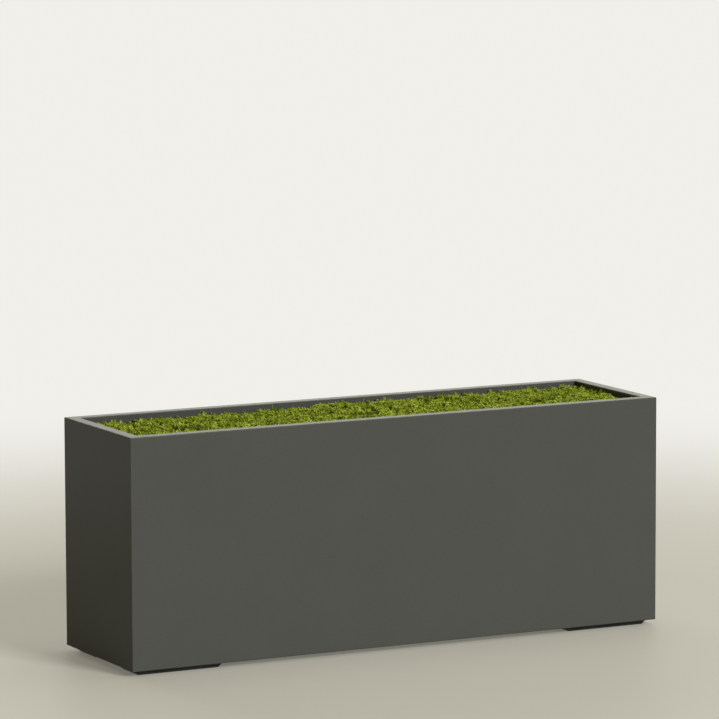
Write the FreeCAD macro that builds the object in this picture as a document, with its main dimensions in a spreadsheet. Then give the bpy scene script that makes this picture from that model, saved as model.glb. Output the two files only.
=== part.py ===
"""Rectangular planter of folded sheet with a lift-out liner and a lift-off moss cover in two halves.

Millimetres. +Z is up, +X runs along the planter's length and -Y is its front.
The origin is on the ground, under the middle of the planter.
"""
import FreeCAD, Part
import math
import os
import re

import Sketcher

SIZES = [
    # The body of folded sheet
    ("length", 1000, "outside length of the body, left to right"),
    ("depth", 270, "outside depth of the body, front to rear"),
    ("height", 400, "ground to rim"),
    ("stand_off", 9, "ground to the underside of the body"),
    ("wall", 1.5, "sheet thickness of the walls"),
    ("bend_radius", 0.6, "inside radius of a fold in a wall"),
    ("rim_width", 21, "outer face of a wall to the inner face of its hem"),
    ("hem_drop", 20, "rim to the lower edge of the hem"),
    ("flange_width", 25, "outer face of a wall to the edge of its bottom flange"),
    ("corner_radius", 1.2, "ground outer radius of an upright edge"),
    # The pan that closes the bottom
    ("pan_sheet", 1.5, "sheet thickness of the pan"),
    ("pan_edge", 24, "height of the pan's upturned edge"),
    ("pan_gap", 0.3, "pan to wall, all round"),
    ("pan_corner", 3, "outer corner radius of the pan"),
    ("drain_pitch", 560, "between the pan's two drain holes"),
    ("drain_radius", 9, "radius of a drain hole in the pan"),
    # The hat-section rails under the liner
    ("rail_sheet", 1.5, "sheet thickness of a rail"),
    ("rail_height", 12, "height of a rail"),
    ("rail_crown", 24, "width across the crown of a rail"),
    ("rail_brim", 11, "width of each brim of a rail"),
    ("rail_nut_gap", 7, "end of a rail to the foot nuts beyond it"),
    ("rail_plug_gap", 11.5, "brim of a rail to the head of a pan plug"),
    # The angles inside the upright edges
    ("angle_leg", 20, "leg of a corner angle"),
    ("angle_sheet", 2, "thickness of a corner angle"),
    ("angle_gap", 2, "corner angle to the pan's edge below and the hem above"),
    # The pads under the body
    ("foot_length", 164, "length of a pad"),
    ("foot_width", 62, "width of a pad"),
    ("foot_end_inset", 9, "end of the body to the end of a pad"),
    ("foot_face_inset", 17, "face of the body to the side of a pad"),
    ("foot_ramp_run", 9, "length of the ramp at each end of a pad"),
    ("foot_land", 1, "upright edge left above a ramp"),
    ("foot_key_gap", 0.3, "raised key of a pad to the walls' flanges"),
    # Screws and nuts
    ("screw_radius", 3, "radius of a screw's shank"),
    ("screw_head", 5.4, "radius of a countersunk head"),
    ("screw_sink", 1.2, "ground to the top of a sunk head"),
    ("screw_end", 1.5, "screw past its nut"),
    ("screw_gap", 0.25, "clearance round a shank"),
    ("drive_radius", 2.2, "corner radius of the hexagon socket"),
    ("drive_depth", 1.8, "depth of that socket"),
    ("nut_flat", 10, "across the flats of a nut"),
    ("nut_height", 5, "height of a nut"),
    ("thread_gap", 0.04, "clearance between thread and nut"),
    # The moulded liner
    ("liner_gap", 3, "edge of the liner's frame or cover to the hem"),
    ("liner_drop", 36, "rim to the top of the liner's frame"),
    ("liner_wall", 3, "wall of the liner"),
    ("liner_floor", 4, "floor of the liner"),
    ("liner_draft", 12, "how far a side leans in from top to bottom"),
    ("liner_corner", 24, "outer corner radius of the liner"),
    ("frame_ledge", 10, "how far the frame reaches out past the liner"),
    ("frame_sheet", 3, "thickness of the frame's ledge and skirt"),
    ("frame_skirt", 9, "height of the frame's skirt, ledge included"),
    ("frame_leg", 2, "thickness of the leg inside the liner"),
    ("frame_reach", 11, "height of that leg, ledge included"),
    ("frame_gap", 0.6, "leg of the frame to the liner's wall"),
    ("frame_corner", 8, "outer corner radius of the frame"),
    ("rib_pitch", 120, "between two ribs on a long side"),
    ("rib_width", 14, "width of a rib"),
    ("rib_depth", 5, "how far a rib stands out"),
    ("rib_start", 26, "underside of the liner to a rib"),
    ("rib_stop", 27, "top of the liner to a rib"),
    ("rib_slope", 8, "length of the run-out at each end of a rib"),
    ("grip_width", 92, "width of a grip slot"),
    ("grip_height", 26, "height of a grip slot"),
    ("grip_drop", 19, "top of the liner to a grip slot"),
    ("outlet_radius", 8, "radius of the liner's drain hole"),
    ("seat_gap", 0.3, "between a loose piece and its seat"),
    # Rubber plugs
    ("plug_flange", 4, "how far a plug's head reaches past its hole"),
    ("plug_head", 2.5, "height of a plug's head"),
    ("plug_tail", 3, "how far a plug reaches past the far face"),
    ("plug_gap", 0.05, "clearance round a plug"),
    ("plug_barb", 1, "how far a plug's barb reaches past its hole"),
    # The cover board and its moss
    ("board_sheet", 6, "thickness of a cover board"),
    ("board_corner", 7, "corner radius of the cover"),
    ("joint_gap", 1, "between the two halves of the cover"),
    ("stem_pitch", 340, "between two stem holes"),
    ("stem_radius", 30, "radius of a stem hole"),
    ("batten_width", 20, "width of a batten"),
    ("batten_height", 8, "height of a batten"),
    ("batten_inset", 8, "rim of a stem hole to a batten"),
    ("batten_end", 26, "end of the cover to the end of a batten"),
    ("moss_height", 21, "board to the top of the moss"),
    ("moss_round", 9, "rounding of the moss's upper edge"),
]

RIB_COUNT = 7

# Places that several pieces share, as sums of the sizes above
PAN_UNDER = "stand_off + wall"
PAN_TOP = "stand_off + wall + pan_sheet"
LINER_UNDER = "stand_off + wall + pan_sheet + rail_height + seat_gap"
LINER_TOP = "height - liner_drop - frame_sheet"
FRAME_TOP = "height - liner_drop"
COVER_UNDER = "height - liner_drop + seat_gap"
COVER_X = "(length / 2 - rim_width - liner_gap)"
COVER_Y = "(depth / 2 - rim_width - liner_gap)"
FOOT_X = "length / 2 - foot_end_inset - foot_length / 2"
FOOT_Y = "depth / 2 - foot_face_inset - foot_width / 2"
KEY_FACE = "-foot_width / 2 + flange_width - foot_face_inset + foot_key_gap"
KEY_HALF = "foot_length / 2 - (flange_width - foot_end_inset) - foot_key_gap"
SCREW_IN_FOOT = "(flange_width - foot_face_inset + foot_key_gap) / 2"
SCREW_Y = "depth / 2 - (foot_face_inset + foot_width + flange_width + foot_key_gap) / 2"
RAIL_Y = "(drain_radius + plug_flange + rail_plug_gap + rail_brim + rail_crown / 2)"
RAIL_RUN = "2 * (%s - nut_flat / sqrt(3) - rail_nut_gap)" % FOOT_X

doc = FreeCAD.newDocument("Planter")
sheet = doc.addObject("Spreadsheet::Sheet", "Sizes")
nodes = []


def fill_sheet():
    """Write each size to the sheet, with its meaning, its number and its alias."""
    for row, (alias, number, meaning) in enumerate(SIZES, start=1):
        sheet.set("A%d" % row, meaning)
        sheet.set("B%d" % row, str(number))
        sheet.setAlias("B%d" % row, alias)
    doc.recompute()


def bound(text):
    """Turn a sum of size names into an expression that reads them from the sheet."""
    return re.sub(r"\b[a-z_]+\b(?!\()", lambda word: "Sizes." + word.group(), text)


def number(text):
    """Work out a sum of size names now."""
    return float(sheet.evalExpression(bound(text)))


def new_body(node):
    """Start a sub-part as a body whose label names its file."""
    body = doc.addObject("PartDesign::Body", node)
    body.Label = node
    nodes.append(body)
    return body


def place(body, across="0", along="0", turn=0):
    """Put a finished body at its place in plan and turn it about the upright axis."""
    body.Placement.Rotation = FreeCAD.Rotation(FreeCAD.Vector(0, 0, 1), turn)
    body.setExpression("Placement.Base.x", bound(across))
    body.setExpression("Placement.Base.y", bound(along))


def new_sketch(body, name, role, lift="0"):
    """Attach a sketch to one of the body's own planes, raised from it by a sum of sizes."""
    sketch = body.newObject("Sketcher::SketchObject", name)
    plane = [item for item in body.Origin.OriginFeatures if item.Role == role][0]
    sketch.AttachmentSupport = (plane, [""])
    sketch.MapMode = "FlatFace"
    sketch.setExpression("AttachmentOffset.Base.z", bound(lift))
    return sketch


def pin(sketch, line, end, across, up):
    """Hold one point of the sketch at two sums of sizes from its origin."""
    for kind, text, axis in (("DistanceX", across, -2), ("DistanceY", up, -1)):
        if text == "0":
            sketch.addConstraint(Sketcher.Constraint("PointOnObject", line, end, axis))
            continue
        rule = sketch.addConstraint(Sketcher.Constraint(kind, -1, 1, line, end, number(text)))
        sketch.renameConstraint(rule, "%s_%d" % (kind.lower(), rule))
        sketch.setExpression("Constraints.%s_%d" % (kind.lower(), rule), bound(text))


def draw_lines(sketch, points):
    """Draw a closed run of lines through points given as pairs of sums of sizes."""
    first = sketch.GeometryCount
    spots = [FreeCAD.Vector(number(across), number(up), 0) for across, up in points]
    for start, end in zip(spots, spots[1:] + spots[:1]):
        sketch.addGeometry(Part.LineSegment(start, end), False)
    for index, (across, up) in enumerate(points):
        following = first + (index + 1) % len(points)
        sketch.addConstraint(Sketcher.Constraint("Coincident", first + index, 2, following, 1))
        pin(sketch, first + index, 1, across, up)


def draw_circle(sketch, across, up, radius):
    """Draw a circle of a named radius."""
    middle = FreeCAD.Vector(number(across), number(up), 0)
    line = sketch.addGeometry(Part.Circle(middle, FreeCAD.Vector(0, 0, 1), number(radius)), False)
    pin(sketch, line, 3, across, up)
    rule = sketch.addConstraint(Sketcher.Constraint("Radius", line, number(radius)))
    sketch.renameConstraint(rule, "radius_%d" % rule)
    sketch.setExpression("Constraints.radius_%d" % rule, bound(radius))


def draw_arc(sketch, across, up, radius, start, end):
    """Draw an arc between two angles in degrees; its ends are tied by the caller."""
    middle = FreeCAD.Vector(number(across), number(up), 0)
    circle = Part.Circle(middle, FreeCAD.Vector(0, 0, 1), number(radius))
    arc = Part.ArcOfCircle(circle, math.radians(start), math.radians(end))
    line = sketch.addGeometry(arc, False)
    pin(sketch, line, 3, across, up)
    rule = sketch.addConstraint(Sketcher.Constraint("Radius", line, number(radius)))
    sketch.renameConstraint(rule, "radius_%d" % rule)
    sketch.setExpression("Constraints.radius_%d" % rule, bound(radius))
    return line


def draw_rounded(sketch, half_x, half_y, radius):
    """Draw a rectangle about the origin with four round corners."""
    inner_x = "(%s - (%s))" % (half_x, radius)
    inner_y = "(%s - (%s))" % (half_y, radius)
    corners = [("-" + inner_x, "-" + inner_y, 180), (inner_x, "-" + inner_y, 270),
               (inner_x, inner_y, 0), ("-" + inner_x, inner_y, 90)]
    arcs = [draw_arc(sketch, across, up, radius, start, start + 90) for across, up, start in corners]
    for arc, following in zip(arcs, arcs[1:] + arcs[:1]):
        leave = sketch.getPoint(arc, 2)
        arrive = sketch.getPoint(following, 1)
        side = sketch.addGeometry(Part.LineSegment(leave, arrive), False)
        sketch.addConstraint(Sketcher.Constraint("Tangent", arc, 2, side, 1))
        sketch.addConstraint(Sketcher.Constraint("Tangent", side, 2, following, 1))


def add_pad(body, sketch, name, height, both_ways=False, reverse=False):
    """Raise a sketch into a solid, to one side or evenly to both."""
    pad = body.newObject("PartDesign::Pad", name)
    pad.Profile = sketch
    pad.SideType = "Symmetric" if both_ways else "One side"
    pad.Reversed = reverse
    pad.setExpression("Length", bound(height))
    doc.recompute()
    return pad


def add_pocket(body, sketch, name, depth, both_ways=False, reverse=False):
    """Cut a sketch out of the solid and make sure that something was cut."""
    before = body.Shape.Volume
    pocket = body.newObject("PartDesign::Pocket", name)
    pocket.Profile = sketch
    pocket.SideType = "Symmetric" if both_ways else "One side"
    pocket.Reversed = reverse
    pocket.setExpression("Length", bound(depth))
    doc.recompute()
    if body.Shape.Volume >= before:
        raise RuntimeError("%s of %s cut nothing" % (name, body.Label))
    return pocket


def add_turned(body, sketch, name, cut=False):
    """Turn a sketch about its own upright axis, as a solid or as a cut."""
    before = body.Shape.Volume if cut else 0
    turned = body.newObject("PartDesign::Groove" if cut else "PartDesign::Revolution", name)
    turned.Profile = sketch
    turned.ReferenceAxis = (sketch, ["V_Axis"])
    turned.Angle = 360
    doc.recompute()
    if cut and body.Shape.Volume >= before:
        raise RuntimeError("%s of %s cut nothing" % (name, body.Label))
    return turned


def add_loft(body, name, lower, upper, cut=False):
    """Join two outlines with straight sides, as a solid or as a cut."""
    before = body.Shape.Volume if cut else 0
    loft = body.newObject("PartDesign::SubtractiveLoft" if cut else "PartDesign::AdditiveLoft", name)
    loft.Profile = lower
    loft.Sections = [upper]
    loft.Ruled = True
    doc.recompute()
    if cut and body.Shape.Volume >= before:
        raise RuntimeError("%s of %s cut nothing" % (name, body.Label))
    return loft


def add_fillet(body, name, radius, wanted):
    """Round the edges of the body's last feature for which wanted(edge) is true."""
    base = body.Tip
    edges = [index for index, edge in enumerate(base.Shape.Edges, start=1) if wanted(edge)]
    if not edges:
        raise RuntimeError("%s of %s found no edge" % (name, body.Label))
    fillet = body.newObject("PartDesign::Fillet", name)
    fillet.Base = (base, ["Edge%d" % index for index in edges])
    fillet.setExpression("Radius", bound(radius))
    doc.recompute()
    return fillet


def add_row(body, name, originals, axis_role, span, count):
    """Repeat features, or the whole body where none are given, along one of its axes."""
    row = body.newObject("PartDesign::LinearPattern", name)
    row.Originals = originals
    if not originals:
        row.TransformMode = "Whole shape"
    axis = [item for item in body.Origin.OriginFeatures if item.Role == axis_role][0]
    row.Direction = (axis, [""])
    row.Mode = "Extent"
    row.Occurrences = count
    row.setExpression("Length", bound(span))
    body.Tip = row
    doc.recompute()
    return row


def runs_along(edge, axis):
    """Say whether an edge is a straight line along a unit vector."""
    if not isinstance(edge.Curve, Part.Line):
        return False
    return abs(edge.Curve.Direction.dot(axis)) > math.cos(math.radians(1))


def build_wall(node, run, stand, turn):
    """Fold one wall: rim, hem and bottom flange in section, mitred and rounded in plan."""
    wall = new_body(node)
    outer = "-%s" % stand
    rim = "-%s + rim_width" % stand
    section = new_sketch(wall, "Section", "YZ_Plane")
    draw_lines(section, [
        (outer, "stand_off"), (outer, "height"), (rim, "height"), (rim, "height - hem_drop"),
        (rim + " - wall", "height - hem_drop"), (rim + " - wall", "height - wall"),
        (outer + " + wall", "height - wall"), (outer + " + wall", "stand_off + wall"),
        (outer + " + flange_width", "stand_off + wall"), (outer + " + flange_width", "stand_off")])
    add_pad(wall, section, "Fold", run, both_ways=True)

    along = FreeCAD.Vector(1, 0, 0)
    outer_folds = [(number(outer), number("stand_off")), (number(outer), number("height")),
                   (number(rim), number("height"))]
    inner_folds = [(number(rim + " - wall"), number("height - wall")),
                   (number(outer + " + wall"), number("height - wall")),
                   (number(outer + " + wall"), number("stand_off + wall"))]

    def at_fold(folds):
        reach = number("wall") / 10
        return lambda edge: runs_along(edge, along) and any(
            math.hypot(edge.CenterOfMass.y - across, edge.CenterOfMass.z - up) < reach
            for across, up in folds)

    add_fillet(wall, "InnerFolds", "bend_radius", at_fold(inner_folds))
    add_fillet(wall, "OuterFolds", "bend_radius + wall", at_fold(outer_folds))

    half = run + " / 2"
    waste = new_sketch(wall, "MitreWaste", "XY_Plane", "stand_off - wall")
    frame_x = half + " + rim_width"
    frame_y = outer + " - rim_width"
    deep = "flange_width + rim_width"
    draw_lines(waste, [
        ("-(%s)" % frame_x, frame_y), (frame_x, frame_y),
        (frame_x, "%s + %s" % (outer, deep)), ("-(%s)" % frame_x, "%s + %s" % (outer, deep))])
    draw_mitred_plan(waste, half, outer, deep)
    add_pocket(wall, waste, "Mitres", "height + wall * 2", reverse=True)
    place(wall, turn=turn)
    return wall


def draw_mitred_plan(sketch, half, outer, deep):
    """Draw a wall seen from above: a straight face, a ground corner at each end and two mitres."""
    corner_x = "%s - corner_radius" % half
    corner_y = "%s + corner_radius" % outer
    left = draw_arc(sketch, "-(%s)" % corner_x, corner_y, "corner_radius", 225, 270)
    right = draw_arc(sketch, corner_x, corner_y, "corner_radius", 270, 315)
    inside = "%s - wall" % deep
    tips = [("%s - (%s)" % (half, inside), "%s + %s" % (outer, inside)),
            ("-(%s - (%s))" % (half, inside), "%s + %s" % (outer, inside))]
    spots = [FreeCAD.Vector(number(across), number(up), 0) for across, up in tips]
    face = sketch.addGeometry(Part.LineSegment(sketch.getPoint(left, 2), sketch.getPoint(right, 1)), False)
    leaving = sketch.addGeometry(Part.LineSegment(sketch.getPoint(right, 2), spots[0]), False)
    back = sketch.addGeometry(Part.LineSegment(spots[0], spots[1]), False)
    coming = sketch.addGeometry(Part.LineSegment(spots[1], sketch.getPoint(left, 1)), False)
    sketch.addConstraint(Sketcher.Constraint("Tangent", left, 2, face, 1))
    sketch.addConstraint(Sketcher.Constraint("Tangent", face, 2, right, 1))
    for line, following in ((right, leaving), (leaving, back), (back, coming), (coming, left)):
        sketch.addConstraint(Sketcher.Constraint("Coincident", line, 2, following, 1))
    pin(sketch, leaving, 2, *tips[0])
    pin(sketch, coming, 1, *tips[1])
    sketch.addConstraint(Sketcher.Constraint("Angle", leaving, math.radians(135)))
    sketch.addConstraint(Sketcher.Constraint("Angle", coming, math.radians(-135)))


def build_pan():
    """Make the tray that closes the bottom, with holes for the drains and the foot screws."""
    pan = new_body("base_pan")
    half_x = "length / 2 - wall - pan_gap"
    half_y = "depth / 2 - wall - pan_gap"
    blank = new_sketch(pan, "Blank", "XY_Plane", PAN_UNDER)
    draw_rounded(blank, half_x, half_y, "pan_corner")
    add_pad(pan, blank, "Tray", "pan_edge")
    inside = new_sketch(pan, "Inside", "XY_Plane", PAN_TOP)
    draw_rounded(inside, half_x + " - pan_sheet", half_y + " - pan_sheet", "pan_corner - pan_sheet")
    add_pocket(pan, inside, "Hollow", "pan_edge", reverse=True)
    holes = new_sketch(pan, "Holes", "XY_Plane", PAN_TOP)
    for side in ("-", ""):
        draw_circle(holes, side + "drain_pitch / 2", "0", "drain_radius")
        for end in ("-", ""):
            draw_circle(holes, "%s(%s)" % (side, FOOT_X), "%s(%s)" % (end, SCREW_Y), "screw_radius + screw_gap")
    add_pocket(pan, holes, "Drilled", "pan_sheet * 2")


def build_rail(node, side):
    """Fold a hat-section rail that carries the liner along the pan."""
    rail = new_body(node)
    crown = "rail_crown / 2"
    brim = "(rail_crown / 2 + rail_brim)"
    inner = "(rail_crown / 2 - rail_sheet)"
    foot = PAN_TOP
    section = new_sketch(rail, "Section", "YZ_Plane")
    draw_lines(section, [
        ("-" + brim, foot), ("-" + inner, foot), ("-" + inner, foot + " + rail_height - rail_sheet"),
        (inner, foot + " + rail_height - rail_sheet"), (inner, foot), (brim, foot),
        (brim, foot + " + rail_sheet"), (crown, foot + " + rail_sheet"), (crown, foot + " + rail_height"),
        ("-" + crown, foot + " + rail_height"), ("-" + crown, foot + " + rail_sheet"),
        ("-" + brim, foot + " + rail_sheet")])
    add_pad(rail, section, "Run", RAIL_RUN, both_ways=True)
    place(rail, along=side + RAIL_Y)


def build_angle(node, side_x, side_y, turn):
    """Make the angle that stiffens one upright edge from inside."""
    angle = new_body(node)
    start = PAN_UNDER + " + pan_edge + angle_gap"
    section = new_sketch(angle, "Section", "XY_Plane", start)
    draw_lines(section, [
        ("0", "0"), ("angle_leg", "0"), ("angle_leg", "angle_sheet"), ("angle_sheet", "angle_sheet"),
        ("angle_sheet", "angle_leg"), ("0", "angle_leg")])
    add_pad(angle, section, "Run", "height - hem_drop - angle_gap - (%s)" % start)
    place(angle, "%s(length / 2 - wall)" % side_x, "%s(depth / 2 - wall)" % side_y, turn)


def draw_screw_outline(sketch, gap, top, sink_open):
    """Draw half of a countersunk screw, or of the hole that takes it, beside the upright axis."""
    shank = "screw_radius + %s" % gap if gap != "0" else "screw_radius"
    low = "-screw_sink" if sink_open else "screw_sink"
    points = [("0", low), ("screw_head", low)]
    if sink_open:
        points.append(("screw_head", "screw_sink"))
    points += [(shank, "screw_sink + screw_head - (%s)" % shank), (shank, top), ("0", top)]
    draw_lines(sketch, points)


def build_foot(node, side_x, side_y, turn):
    """Mould one pad: ramped ends, a key that fits inside the flanges and a sunk screw hole."""
    foot = new_body(node)
    profile = new_sketch(foot, "Profile", "XZ_Plane")
    draw_lines(profile, [
        ("-(foot_length / 2 - foot_ramp_run)", "0"), ("foot_length / 2 - foot_ramp_run", "0"),
        ("foot_length / 2", "stand_off - foot_land"), ("foot_length / 2", "stand_off"),
        ("-foot_length / 2", "stand_off"), ("-foot_length / 2", "stand_off - foot_land")])
    add_pad(foot, profile, "Pad", "foot_width", both_ways=True)
    key = new_sketch(foot, "KeyOutline", "XY_Plane", "stand_off")
    draw_lines(key, [
        ("-(%s)" % KEY_HALF, KEY_FACE), (KEY_HALF, KEY_FACE),
        (KEY_HALF, "foot_width / 2"), ("-(%s)" % KEY_HALF, "foot_width / 2")])
    add_pad(foot, key, "Key", "wall")
    hole = new_sketch(foot, "HoleOutline", "XZ_Plane", "-" + SCREW_IN_FOOT)
    draw_screw_outline(hole, "screw_gap", "stand_off + wall * 2", sink_open=True)
    add_turned(foot, hole, "SunkHole", cut=True)
    place(foot, "%s(%s)" % (side_x, FOOT_X), "%s(%s)" % (side_y, FOOT_Y), turn)


def spread_over_feet(body):
    """Repeat the first fastener at all four pads."""
    add_row(body, "AlongFront", [], "X_Axis", "2 * (%s)" % FOOT_X, 2)
    add_row(body, "BothSides", [], "Y_Axis", "2 * (%s)" % SCREW_Y, 2)
    place(body, "-(%s)" % FOOT_X, "-(%s)" % SCREW_Y)


def build_screws():
    """Turn the countersunk screws that hold the pads, each with a hexagon socket."""
    screws = new_body("foot_screws")
    screws.AllowCompound = True
    outline = new_sketch(screws, "Outline", "XZ_Plane")
    draw_screw_outline(outline, "0", PAN_TOP + " + nut_height + screw_end", sink_open=False)
    add_turned(screws, outline, "Screw")
    socket = new_sketch(screws, "Socket", "XY_Plane", "screw_sink")
    draw_hexagon(socket, "drive_radius")
    add_pocket(screws, socket, "Drive", "drive_depth", reverse=True)
    spread_over_feet(screws)


def draw_hexagon(sketch, corner):
    """Draw a regular hexagon about the origin, given its corner radius."""
    flat = "(%s * sqrt(3) / 2)" % corner
    half = "(%s / 2)" % corner
    draw_lines(sketch, [
        (corner, "0"), (half, flat), ("-" + half, flat),
        ("-" + corner, "0"), ("-" + half, "-" + flat), (half, "-" + flat)])


def build_nuts():
    """Make the hexagon nuts above the pan."""
    nuts = new_body("foot_nuts")
    nuts.AllowCompound = True
    outline = new_sketch(nuts, "Outline", "XY_Plane", PAN_TOP)
    draw_hexagon(outline, "(nut_flat / sqrt(3))")
    draw_circle(outline, "0", "0", "screw_radius + thread_gap")
    add_pad(nuts, outline, "Nut", "nut_height")
    spread_over_feet(nuts)


def build_plug(node, hole, under, top):
    """Turn a rubber plug: flat head on the floor, shank through it and a barb below."""
    plug = new_body(node)
    shank = "%s - plug_gap" % hole
    head = "%s + plug_flange" % hole
    outline = new_sketch(plug, "Outline", "XZ_Plane")
    draw_lines(outline, [
        ("0", "%s - plug_tail" % under), ("%s - plug_barb" % hole, "%s - plug_tail" % under),
        ("%s + plug_barb" % hole, under), (shank, under), (shank, top), (head, top),
        (head, "%s + plug_head" % top), ("0", "%s + plug_head" % top)])
    add_turned(plug, outline, "Plug")
    return plug


def build_pan_plugs():
    """Close both drain holes of the pan."""
    plugs = build_plug("pan_plugs", "drain_radius", PAN_UNDER, PAN_TOP)
    plugs.AllowCompound = True
    add_row(plugs, "Both", [], "X_Axis", "drain_pitch", 2)
    place(plugs, "-drain_pitch / 2")


def side_at(side_bottom, level):
    """Give how far out a drafted side of the liner stands at a level."""
    rise = "((%s) - (%s)) / ((%s) - (%s))" % (level, LINER_UNDER, LINER_TOP, LINER_UNDER)
    return "(%s + liner_draft * %s)" % (side_bottom, rise)


def build_liner():
    """Mould the liner: drafted sides with ribs, two grip slots and an outlet in the floor."""
    liner = new_body("liner")
    top_x = COVER_X + " - frame_ledge"
    top_y = COVER_Y + " - frame_ledge"
    low_x = top_x + " - liner_draft"
    low_y = top_y + " - liner_draft"
    under = new_sketch(liner, "Under", "XY_Plane", LINER_UNDER)
    draw_rounded(under, low_x, low_y, "liner_corner")
    mouth = new_sketch(liner, "Mouth", "XY_Plane", LINER_TOP)
    draw_rounded(mouth, top_x, top_y, "liner_corner")
    add_loft(liner, "Sides", under, mouth)
    add_liner_ribs(liner, low_y)
    floor = new_sketch(liner, "Floor", "XY_Plane", LINER_UNDER + " + liner_floor")
    draw_rounded(floor, low_x + " - liner_wall", low_y + " - liner_wall", "liner_corner - liner_wall")
    opening = new_sketch(liner, "Opening", "XY_Plane", LINER_TOP)
    draw_rounded(opening, top_x + " - liner_wall", top_y + " - liner_wall", "liner_corner - liner_wall")
    add_loft(liner, "Hollow", floor, opening, cut=True)
    slots = new_sketch(liner, "GripOutline", "YZ_Plane")
    draw_slot(slots, LINER_TOP + " - grip_drop - grip_height / 2", "grip_width", "grip_height")
    add_pocket(liner, slots, "Grips", "length", both_ways=True)
    outlet = new_sketch(liner, "OutletOutline", "XY_Plane", LINER_UNDER + " + liner_floor")
    draw_circle(outlet, "0", "0", "outlet_radius")
    add_pocket(liner, outlet, "Outlet", "liner_floor * 2")


def build_liner_frame():
    """Mould the frame round the liner's mouth: a ledge for the cover, a skirt and an inner leg."""
    frame = new_body("liner_frame")
    leg = " - frame_ledge - liner_wall - frame_gap"
    leg_corner = "liner_corner - liner_wall - frame_gap"
    rings = (
        ("Ledge", "", "frame_corner", leg, leg_corner, "frame_sheet"),
        ("Skirt", "", "frame_corner", " - frame_sheet", "frame_corner - frame_sheet", "frame_skirt"),
        ("Leg", leg, leg_corner, leg + " - frame_leg", leg_corner + " - frame_leg", "frame_reach"))
    for name, outer, outer_corner, inner, inner_corner, height in rings:
        outline = new_sketch(frame, name + "Outline", "XY_Plane", FRAME_TOP)
        draw_rounded(outline, COVER_X + outer, COVER_Y + outer, outer_corner)
        draw_rounded(outline, COVER_X + inner, COVER_Y + inner, inner_corner)
        add_pad(frame, outline, name, height, reverse=True)


def draw_slot(sketch, level, width, height):
    """Draw a long hole with round ends, centred on the upright axis at a level."""
    radius = "%s / 2" % height
    reach = "(%s - %s) / 2" % (width, height)
    right = draw_arc(sketch, reach, level, radius, -90, 90)
    left = draw_arc(sketch, "-" + reach, level, radius, 90, 270)
    for arc, following in ((right, left), (left, right)):
        ends = (sketch.getPoint(arc, 2), sketch.getPoint(following, 1))
        side = sketch.addGeometry(Part.LineSegment(*ends), False)
        sketch.addConstraint(Sketcher.Constraint("Tangent", arc, 2, side, 1))
        sketch.addConstraint(Sketcher.Constraint("Tangent", side, 2, following, 1))


def add_liner_ribs(liner, low_y):
    """Stand a row of upright ribs with run-out ends on both long sides of the liner."""
    foot = LINER_UNDER + " + rib_start"
    head = LINER_TOP + " - rib_stop"
    span = "rib_pitch * %d" % (RIB_COUNT - 1)
    profile = new_sketch(liner, "RibProfile", "YZ_Plane", "-(%s) / 2" % span)
    for side in ("-", ""):
        points = []
        for level, out in ((foot, "-liner_wall / 2"), (head, "-liner_wall / 2"),
                           (head + " - rib_slope", "+rib_depth"), (foot + " + rib_slope", "+rib_depth")):
            points.append(("%s(%s %s)" % (side, side_at(low_y, level), out), level))
        draw_lines(profile, points)
    rib = add_pad(liner, profile, "Rib", "rib_width", both_ways=True)
    add_row(liner, "Ribs", [rib], "X_Axis", span, RIB_COUNT)


def cut_to_half(cover, level, thickness):
    """Leave the front half of a cover layer and cut its half-round stem notches."""
    waste = new_sketch(cover, "OtherHalf", "XY_Plane", level)
    past_x = "(%s + liner_gap)" % COVER_X
    past_y = "(%s + liner_gap)" % COVER_Y
    draw_lines(waste, [
        ("-" + past_x, "-joint_gap / 2"), (past_x, "-joint_gap / 2"), (past_x, past_y), ("-" + past_x, past_y)])
    add_pocket(cover, waste, "Halved", thickness, reverse=True)
    stems = new_sketch(cover, "Stems", "XY_Plane", level)
    for across in ("-stem_pitch", "0", "stem_pitch"):
        draw_circle(stems, across, "0", "stem_radius")
    add_pocket(cover, stems, "Notches", thickness, reverse=True)


def build_board(node, turn):
    """Cut one half of the flat board that closes the liner round the stems."""
    board = new_body(node)
    outline = new_sketch(board, "Outline", "XY_Plane", COVER_UNDER)
    draw_rounded(outline, COVER_X, COVER_Y, "board_corner")
    add_pad(board, outline, "Plate", "board_sheet")
    cut_to_half(board, COVER_UNDER, "board_sheet * 2")
    place(board, turn=turn)


def build_batten(node, turn):
    """Saw the strip that stiffens one board beside its joint edge."""
    batten = new_body(node)
    end = COVER_X + " - batten_end"
    near = "-(stem_radius + batten_inset)"
    far = "-(stem_radius + batten_inset + batten_width)"
    outline = new_sketch(batten, "Outline", "XY_Plane", COVER_UNDER)
    draw_lines(outline, [("-(%s)" % end, far), (end, far), (end, near), ("-(%s)" % end, near)])
    add_pad(batten, outline, "Strip", "batten_height", reverse=True)
    place(batten, turn=turn)


def build_moss(node, turn):
    """Shape one half of the moss layer, rounded over at the planter's walls."""
    moss = new_body(node)
    under = COVER_UNDER + " + board_sheet"
    outline = new_sketch(moss, "Outline", "XY_Plane", under)
    draw_rounded(outline, COVER_X, COVER_Y, "board_corner")
    add_pad(moss, outline, "Layer", "moss_height")
    top = number(under + " + moss_height")
    near = number("board_sheet") / 10
    add_fillet(moss, "Rounded", "moss_round",
               lambda edge: all(abs(corner.Z - top) < near for corner in edge.Vertexes))
    cut_to_half(moss, under, "moss_height * 2")
    place(moss, turn=turn)


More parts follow.
